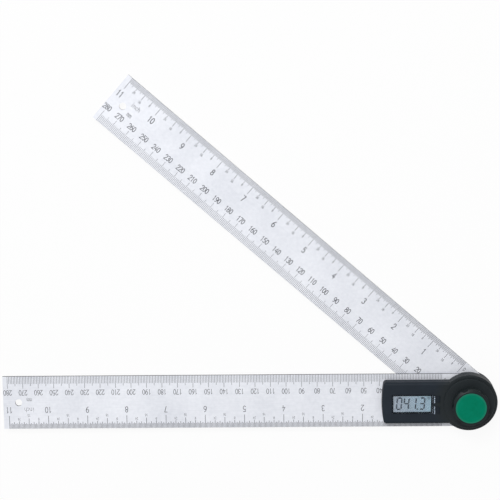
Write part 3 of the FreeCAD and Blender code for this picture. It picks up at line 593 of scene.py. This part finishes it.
SIX = [arc(0.5, 0.3, 0.5, 0.3, 0, 360, 14), arc(0.92, 0.3, 0.92, 0.7, 178, 98, 6)]
GLYPHS = {
    "0": [arc(0.5, 0.5, 0.5, 0.5, 0, 360, 16)],
    "1": [[(0.22, 0.8), (0.55, 1), (0.55, 0)]],
    "2": [arc(0.5, 0.7, 0.48, 0.3, 170, -38, 8) + [(0, 0), (1, 0)]],
    "3": [arc(0.48, 0.75, 0.44, 0.25, 155, -90, 8)[:-1]
          + arc(0.48, 0.27, 0.5, 0.27, 88, -150, 8)],
    "4": [[(0.74, 0), (0.74, 1), (0, 0.3), (1, 0.3)]],
    "5": [[(0.92, 1), (0.16, 1), (0.08, 0.54)] + arc(0.48, 0.32, 0.5, 0.32, 125, -145, 9)],
    "6": SIX,
    "7": [[(0, 1), (1, 1), (0.36, 0)]],
    "8": [arc(0.5, 0.76, 0.42, 0.24, 0, 360, 12), arc(0.5, 0.27, 0.5, 0.27, 0, 360, 12)],
    "9": upside_down(SIX),
    "/": [[(0.05, 0), (0.95, 1)]],
    "E": [[(1, 1), (0, 1), (0, 0), (1, 0)], [(0, 0.52), (0.8, 0.52)]],
    "F": [[(1, 1), (0, 1), (0, 0)], [(0, 0.52), (0.8, 0.52)]],
    "N": [[(0, 0), (0, 1), (1, 0), (1, 1)]],
    "O": [arc(0.5, 0.5, 0.5, 0.5, 0, 360, 16)],
    "R": [[(0, 0), (0, 1)] + arc(0.55, 0.75, 0.45, 0.25, 90, -90, 6) + [(0, 0.5)],
          [(0.5, 0.5), (1, 0)]],
    "Z": [[(0, 1), (1, 1), (0, 0), (1, 0)]],
    "c": [arc(0.5, 0.32, 0.5, 0.32, 40, 320, 9)],
    "h": [[(0, 1), (0, 0)], arc(0.45, 0.32, 0.45, 0.32, 150, 0, 6) + [(0.9, 0)]],
    "i": [[(0.5, 0.64), (0.5, 0)], [(0.5, 0.86), (0.5, 0.96)]],
    "m": [[(0, 0.64), (0, 0)], arc(0.25, 0.4, 0.25, 0.24, 170, 0, 5) + [(0.5, 0)],
          arc(0.75, 0.4, 0.25, 0.24, 170, 0, 5) + [(1, 0)]],
    "n": [[(0, 0.64), (0, 0)], arc(0.45, 0.32, 0.45, 0.32, 150, 0, 6) + [(0.9, 0)]],
}


def add_stroke(shape, points, width, base, top):
    """A flat line of one width through the points, as a closed solid; a loop if its ends meet."""
    loop = (points[0] - points[-1]).length < width * 0.1
    if loop:
        points = points[:-1]
    count = len(points)
    rows = []
    for number, point in enumerate(points):
        before = points[number - 1] if loop or number else None
        after = points[(number + 1) % count] if loop or number < count - 1 else None
        headings = [(b - a).normalized() for a, b in ((before, point), (point, after))
                    if a is not None and b is not None]
        heading = sum(headings, Vector((0, 0))).normalized()
        lean = max(heading.dot(headings[0]), 0.5)
        aside = Vector((-heading.y, heading.x)) * (width / 2 / lean)
        if not loop and number in (0, count - 1):
            point = point + heading * (width / 2 if number else -width / 2)
        rows.append([shape.verts.new((*(point + aside * side), level))
                     for side, level in ((1, base), (-1, base), (-1, top), (1, top))])
    pairs = zip(rows, rows[1:] + rows[:1] if loop else rows[1:])
    for row, after in pairs:
        for number in range(4):
            onward = (number + 1) % 4
            shape.faces.new((row[number], row[onward], after[onward], after[number]))
    if not loop:
        shape.faces.new(rows[0][::-1])
        shape.faces.new(rows[-1])


def add_words(shape, words, centre, height, base, top, turn=0.0, length=None, stroke=STROKE_SHARE):
    """Words in single-stroke lettering, centred on a place and turned about it."""
    pitch = height * (GLYPH_WIDTH_SHARE + GLYPH_GAP_SHARE)
    filled = GLYPH_WIDTH_SHARE / (GLYPH_WIDTH_SHARE + GLYPH_GAP_SHARE)
    if length:
        pitch = length / (len(words) - 1 + filled)
    wide = pitch * filled
    left = -(pitch * (len(words) - 1) + wide) / 2
    rotation = Matrix.Rotation(turn, 2)
    for number, glyph in enumerate(words):
        for strokes in GLYPHS[glyph]:
            places = [Vector((left + pitch * number + x * wide, (y - 0.5) * height))
                      for x, y in strokes]
            places = [Vector(centre) + rotation @ place for place in places]
            add_stroke(shape, places, height * stroke, base, top)


def closed_mesh(shape, place=Matrix()):
    """The finished solids as a mesh, moved to their place, faces outwards."""
    bmesh.ops.transform(shape, matrix=place, verts=shape.verts)
    bmesh.ops.recalc_face_normals(shape, faces=shape.faces)
    mesh = bpy.data.meshes.new("closed")
    shape.to_mesh(mesh)
    shape.free()
    return mesh


def etch_lines(rule, ink):
    """The millimetre and inch lines of one rule."""
    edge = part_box("front_blade")[1].y
    side = rule["inch_side"]
    shared = {"Zero": SCALE_ZERO, "Edge": edge, "Base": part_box(rule["node"])[1].z - ETCH_ROOT,
              "Height": ETCH_HEIGHT + ETCH_ROOT, "Covered Reach": rule["covered_reach"],
              "Covered Length": edge - rule["covered_half"], "Ink": ink}
    scales = (("millimetre_lines", MM_LINES, MM, SCALE_LENGTH_MM, -side, MM_LINE_WIDTH),
              ("inch_lines", INCH_LINES, INCH / PARTS_OF_INCH,
               SCALE_LENGTH_INCHES * PARTS_OF_INCH, side, INCH_LINE_WIDTH))
    shape = bmesh.new()
    for name, steps, pitch, parts, line_side, width in scales:
        values = dict(shared, **{"Length %d" % step: length for step, length in steps.items()})
        values.update({"Pitch": pitch, "Count": parts + 1, "Side": float(line_side),
                       "Line Width": width * rule["line_weight"]})
        mesh = grown_mesh(rule_lines_tree(name, list(steps)), values)
        shape.from_mesh(mesh)
        bpy.data.meshes.remove(mesh)
    add_piece(rule["label"] + "_scale_lines", closed_mesh(shape, rule["place"]), rule["body"], ink)


def etch_numerals(rule, ink):
    """The numerals and unit names of one rule."""
    shape = bmesh.new()
    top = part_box(rule["node"])[1].z
    base, surface = top - ETCH_ROOT, top + ETCH_HEIGHT
    side = rule["inch_side"]
    turn = 0.0 if side > 0 else math.pi

    def words(text, distance, aside, height, stroke=STROKE_SHARE):
        """Words on the rule, unless the case covers them."""
        if distance > rule["covered_reach"]:
            add_words(shape, text, (-distance, aside), height, base, surface, turn,
                      stroke=stroke * rule["numeral_weight"])

    for number in range(10, SCALE_LENGTH_MM + 1, 10):
        distance = SCALE_ZERO + number * MM
        words(str(number), distance, -side * MM_NUMERAL["aside"], MM_NUMERAL["height"])
    for number in range(1, SCALE_LENGTH_INCHES + 1):
        distance = SCALE_ZERO + number * INCH
        words(str(number), distance, side * INCH_NUMERAL["aside"], INCH_NUMERAL["height"])
    for quarter in range(1, SCALE_LENGTH_INCHES * 4):
        part = quarter % 4 * PARTS_OF_INCH // 4
        if part:
            distance = SCALE_ZERO + quarter * INCH / 4
            numeral = QUARTER_INCH_NUMERAL if quarter % 2 else HALF_INCH_NUMERAL
            words(str(part), distance, side * numeral["aside"], numeral["height"])
    for zero_side in (-1, 1):
        add_words(shape, "0", (-ZERO_NUMERAL["distance"], zero_side * ZERO_NUMERAL["aside"]),
                  ZERO_NUMERAL["height"], base, surface, turn)
    for text, aside in (("mm", -side * UNIT_NAME["mm_aside"]),
                        ("inch", side * UNIT_NAME["inch_aside"])):
        words(text, UNIT_NAME["distance"], aside, UNIT_NAME["height"], UNIT_STROKE_SHARE)
    add_piece(rule["label"] + "_scale_numerals", closed_mesh(shape, rule["place"]),
              rule["body"], ink)


SQUARE = ((-1, -1), (1, -1), (1, 1), (-1, 1))
SEGMENTS_LIT = {"0": "abcdef", "1": "bc", "2": "abged", "3": "abgcd", "4": "fgbc",
                "5": "afgcd", "6": "afgedc", "7": "abc", "8": "abcdefg", "9": "abcdfg"}


def add_prism(shape, corners, base, top):
    """A closed solid over a flat outline."""
    low = [shape.verts.new((x, y, base)) for x, y in corners]
    high = [shape.verts.new((x, y, top)) for x, y in corners]
    shape.faces.new(low[::-1])
    shape.faces.new(high)
    for number, corner in enumerate(low):
        onward = (number + 1) % len(low)
        shape.faces.new((corner, low[onward], high[onward], high[number]))


def segment_outline(start, end):
    """A bar with pointed ends, short of both ends by the gap between segments."""
    along = (end - start).normalized()
    across = Vector((-along.y, along.x)) * (FIGURE_STROKE / 2)
    start = start + along * FIGURE_GAP
    end = end - along * FIGURE_GAP
    taper = along * (FIGURE_STROKE / 2)
    return [start, start + taper - across, end - taper - across,
            end, end - taper + across, start + taper + across]


def display_figures(ink):
    """The reading, in leaning seven-segment figures on the face of the display."""
    window_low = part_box("lcd_window")[0]
    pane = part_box("lcd_panel")[1].z
    shape = bmesh.new()
    left = window_low.x + WINDOW_LIP + FIGURE_LEFT
    bottom = window_low.y + WINDOW_LIP + FIGURE_RISE
    across = FIGURE_WIDTH - FIGURE_STROKE
    tall = FIGURE_HEIGHT - FIGURE_STROKE
    half_stroke = FIGURE_STROKE / 2

    def leaned(x, y):
        """A place of the current figure, leaning to the right as it goes up."""
        return Vector((left + half_stroke + x + y * FIGURE_LEAN, bottom + half_stroke + y))

    for figure in READING:
        if figure == ".":
            x = -FIGURE_PITCH + across + (FIGURE_PITCH - across + FIGURE_POINT_ROOM) / 2
            corners = [leaned(x + a * half_stroke, b * half_stroke) for a, b in SQUARE]
            add_prism(shape, corners, pane, pane + FIGURE_THICKNESS)
            left += FIGURE_POINT_ROOM
            continue
        joints = {"a": ((0, tall), (across, tall)), "b": ((across, tall), (across, tall / 2)),
                  "c": ((across, tall / 2), (across, 0)), "d": ((0, 0), (across, 0)),
                  "e": ((0, tall / 2), (0, 0)), "f": ((0, tall), (0, tall / 2)),
                  "g": ((0, tall / 2), (across, tall / 2))}
        for name in SEGMENTS_LIT[figure]:
            start, end = joints[name]
            outline = segment_outline(leaned(*start), leaned(*end))
            add_prism(shape, outline, pane, pane + FIGURE_THICKNESS)
        left += FIGURE_PITCH
    ring = [leaned(0, tall) + Vector((x, y)) * DEGREE_RADIUS
            for x, y in arc(1, -0.3, 1, 1, 0, 360, 14)]
    add_stroke(shape, ring, DEGREE_RADIUS * 0.5, pane, pane + FIGURE_THICKNESS)
    add_piece("display_figures", closed_mesh(shape), "front_arm", ink)


def key_lettering(ink):
    """The name of each key, printed beside it and read upwards."""
    shape = bmesh.new()
    for node, words in KEY_NAMES.items():
        low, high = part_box(node)
        x = low.x - KEY_NAME_GAP - KEY_NAME_HEIGHT / 2
        y = (low.y + high.y) / 2
        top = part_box("lcd_window")[1].z
        add_words(shape, words, (x, y), KEY_NAME_HEIGHT, top - ETCH_ROOT, top + ETCH_HEIGHT,
                  math.pi / 2, KEY_NAME_LENGTH, KEY_NAME_STROKE_SHARE)
    add_piece("key_lettering", closed_mesh(shape), "front_arm", ink)


def make_camera():
    """The camera that the photo was taken with, as far as the scales tell."""
    camera = bpy.data.objects.new("camera", bpy.data.cameras.new("camera"))
    bpy.context.scene.collection.objects.link(camera)
    right = CAMERA_FORWARD.cross(CAMERA_UP).normalized()
    up = right.cross(CAMERA_FORWARD).normalized()
    turn = Matrix((right, up, -CAMERA_FORWARD.normalized())).transposed()
    camera.matrix_world = Matrix.Translation(CAMERA_PLACE) @ turn.to_4x4()
    camera.data.lens = CAMERA_LENS
    camera.data.clip_end = CAMERA_REACH
    bpy.context.scene.camera = camera


def make_lamp(name, place, size, power):
    """A square lamp, aimed at the middle of the object."""
    lamp = bpy.data.lights.new(name, "AREA")
    lamp.size = size
    lamp.energy = power
    holder = bpy.data.objects.new(name, lamp)
    bpy.context.scene.collection.objects.link(holder)
    turn = (LAMP_AIM - Vector(place)).to_track_quat("-Z", "Y")
    holder.matrix_world = Matrix.Translation(place) @ turn.to_matrix().to_4x4()


def seen_directly(tree):
    """1 for rays that show the surroundings: from the camera, from gloss and through glass."""
    path = tree.nodes.new("ShaderNodeLightPath")
    total = path.outputs["Is Camera Ray"]
    for name in ("Is Glossy Ray", "Is Transmission Ray"):
        add = tree.nodes.new("ShaderNodeMath")
        add.operation = "MAXIMUM"
        tree.links.new(total, add.inputs[0])
        tree.links.new(path.outputs[name], add.inputs[1])
        total = add.outputs["Value"]
    return total


def make_room():
    """An even white room, dimmer for soft light than to look at, and its two lamps."""
    world = bpy.data.worlds.new("room")
    bpy.context.scene.world = world
    world.use_nodes = True
    tree = world.node_tree
    strength = tree.nodes.new("ShaderNodeMapRange")
    strength.inputs["To Min"].default_value = ROOM_LIGHT
    strength.inputs["To Max"].default_value = ROOM_WHITE
    tree.links.new(seen_directly(tree), strength.inputs["Value"])
    background = tree.nodes["Background"]
    background.inputs["Color"].default_value = (1, 1, 1, 1)
    tree.links.new(strength.outputs["Result"], background.inputs["Strength"])
    make_lamp("key_lamp", **KEY_LAMP)
    make_lamp("fill_lamp", **FILL_LAMP)


def make_floor():
    """White paper that glows a little by itself and so keeps only a faint shadow."""
    mesh = bpy.data.meshes.new("floor")
    corners = [(x * FLOOR_SIZE / 2, y * FLOOR_SIZE / 2, -FLOOR_DROP) for x, y in SQUARE]
    mesh.from_pydata(corners, [], [(0, 1, 2, 3)])
    floor = bpy.data.objects.new("floor", mesh)
    bpy.context.scene.collection.objects.link(floor)
    finish = Finish("floor_paper", srgb(247, 247, 247), 0.9, specular=0.1)
    grain = finish.noise(2 * MM)
    finish.drive("Base Color", finish.between(grain, srgb(246, 246, 246), srgb(248, 248, 248)))
    share = finish.node("Math", operation="MULTIPLY")
    share.inputs[1].default_value = FLOOR_GLOW_SHARE
    finish.link(seen_directly(finish.tree), share.inputs[0])
    finish.give_way(share.outputs["Value"], finish.node("Emission").outputs["Emission"])
    mesh.materials.append(finish.material)


def main():
    """Camera, light, floor, finishes and the six pieces that only the looks need."""
    hole = [mount for mount in frame["record"]["mounts"] if mount["name"] == "rear_hang_hole"][0]
    across, along = hole["pos_m"][:2]
    arm_turn = -math.atan2(along, -across)
    case_reach = -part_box("case_shell")[0].x
    # inch_side is 1 where the inch scale is on the blade's +Y edge, and -1 where it is on -Y
    rules = (
        {"label": "front", "node": "front_blade", "body": "front_arm", "inch_side": -1,
         "place": Matrix(), "covered_reach": case_reach + CASE_GAP,
         "covered_half": CASE_HALF_WIDTH + CASE_GAP, "line_weight": 1.0, "numeral_weight": 1.0},
        {"label": "rear", "node": "rear_blade", "body": "rear_arm", "inch_side": 1,
         "place": Matrix.Rotation(arm_turn, 4, "Z"), "covered_reach": 0.0, "covered_half": 0.0,
         "line_weight": REAR_LINE_WEIGHT, "numeral_weight": REAR_NUMERAL_WEIGHT},
    )
    etched = printed("etched_black", srgb(46, 47, 54), srgb(60, 61, 68), 0.6)
    display_ink = printed("figure_dark", srgb(36, 43, 52), srgb(46, 53, 62), 0.5)
    white = printed("lettering_white", srgb(200, 218, 240), srgb(214, 230, 250), 0.5)

    make_camera()
    make_room()
    make_floor()
    dress_nodes(arm_turn)
    for rule in rules:
        etch_lines(rule, etched)
        etch_numerals(rule, etched)
    display_figures(display_ink)
    key_lettering(white)
    bpy.context.scene.view_settings.view_transform = "Standard"


main()
